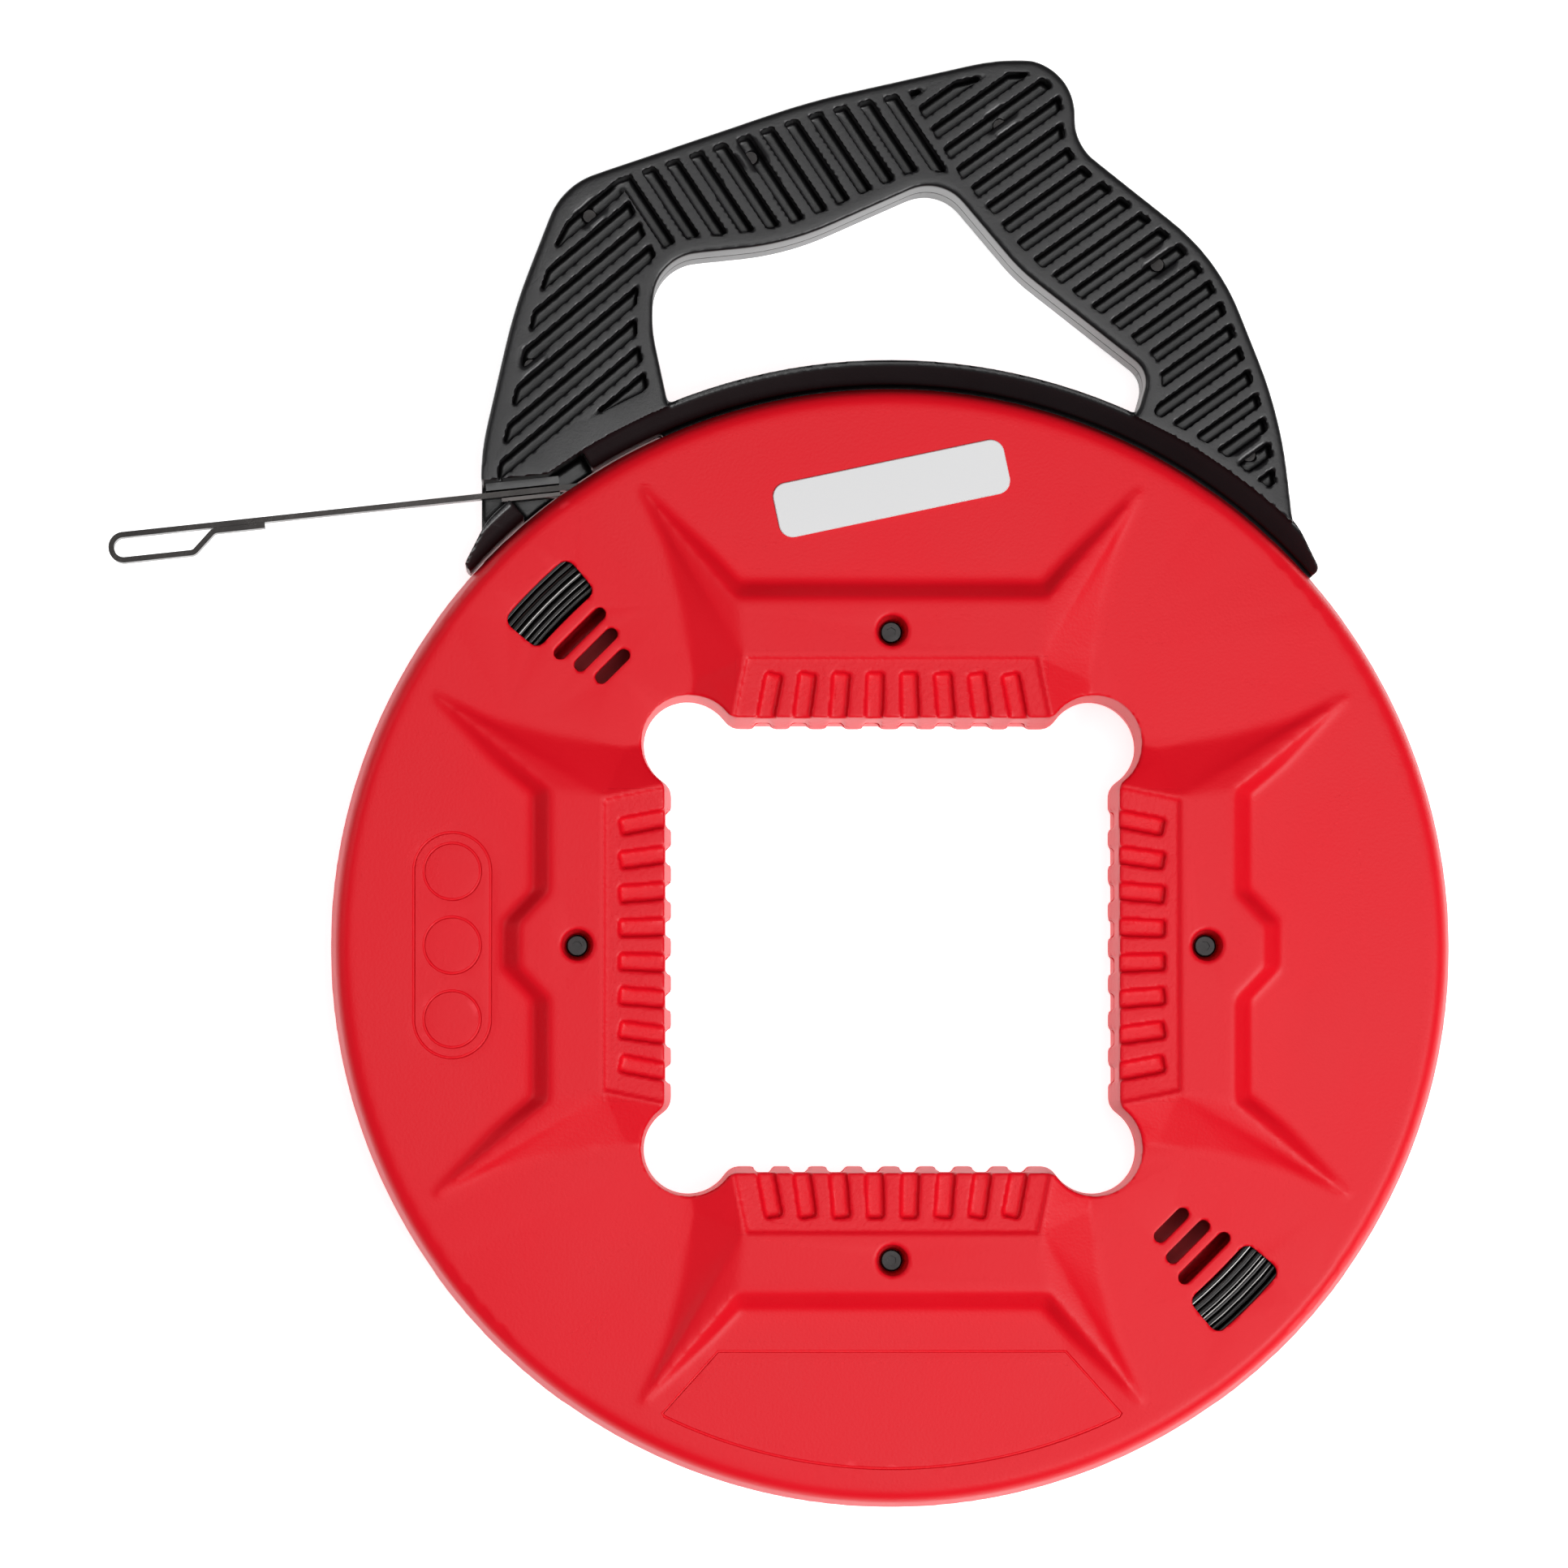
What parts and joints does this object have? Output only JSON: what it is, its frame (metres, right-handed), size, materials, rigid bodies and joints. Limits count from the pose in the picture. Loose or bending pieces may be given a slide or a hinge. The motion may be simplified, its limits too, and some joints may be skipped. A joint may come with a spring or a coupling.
{
  "type": "fish tape reel",
  "caption": "Round hollow reel with a square middle opening, holding a flat steel fish tape, with a carrying handle that runs round its rim.",
  "frame": {"origin": "on the reel's axis, in the plane that the rear raised pads rest on", "axes": "+Z along the reel's axis, out of its front face; +Y from the axis towards the handle"},
  "size_m": [0.3654, 0.3938, 0.049],
  "materials": {
    "red_plastic": "fine spark-eroded grain, satin",
    "black_plastic": "satin moulded black",
    "guide_plastic": "slick acetal",
    "spring_steel": "black oxide, oiled",
    "plain_steel": "bright zinc",
    "screw_steel": "black oxide",
    "badge_white": "printed white, blank"
  },
  "bodies": {
    "handle": {"handle_front": "black_plastic", "handle_rear": "black_plastic", "handle_screws": "screw_steel", "tape_guide": "guide_plastic", "exit_wear_plate": "plain_steel"},
    "reel": {"front_shell": "red_plastic", "rear_shell": "red_plastic", "shell_screws": "screw_steel", "tape_coil": "spring_steel", "tape_anchor_clip": "plain_steel", "anchor_screw": "plain_steel", "blank_badge": "badge_white"},
    "lead": {"tape_lead": "spring_steel"}
  },
  "joints": [
    {"name": "reel_spin", "type": "hinge", "parent": "handle", "child": "reel", "pos_m": [0, 0, 0.0245], "axis": [0, 0, 1], "continuous": true},
    {"name": "tape_feed", "type": "slide", "parent": "handle", "child": "lead", "axis": [-0.9942, -0.108, 0], "range_m": [-0.055, 0.018]}
  ]
}
